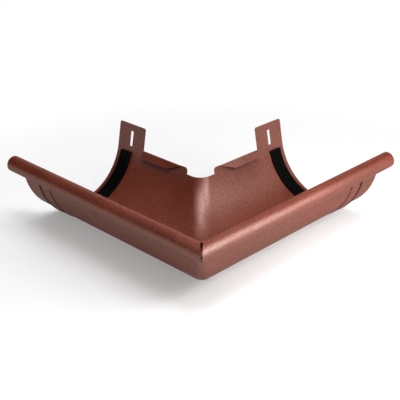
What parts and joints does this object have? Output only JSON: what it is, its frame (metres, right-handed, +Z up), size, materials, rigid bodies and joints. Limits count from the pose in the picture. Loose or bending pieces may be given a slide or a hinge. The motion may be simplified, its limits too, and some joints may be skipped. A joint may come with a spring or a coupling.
{
  "type": "gutter corner",
  "caption": "External right-angled corner for a half-round gutter: painted sheet trough with a rolled front bead, a folded rear lip, and rubber-sealed end straps with slotted ears.",
  "frame": {"origin": "middle of the bounding box in plan, at the lowest point of the laps", "axes": "+Z up; +X out along the right leg and +Y out along the left leg, so the outer corner points to -X -Y"},
  "size_m": [0.2688, 0.2688, 0.0777],
  "materials": {
    "paint": "satin",
    "seal": "matte"
  },
  "bodies": {
    "root": {"corner_body": "paint", "right_strap": "paint", "left_strap": "paint", "right_seal": "seal", "left_seal": "seal"}
  },
  "joints": []
}
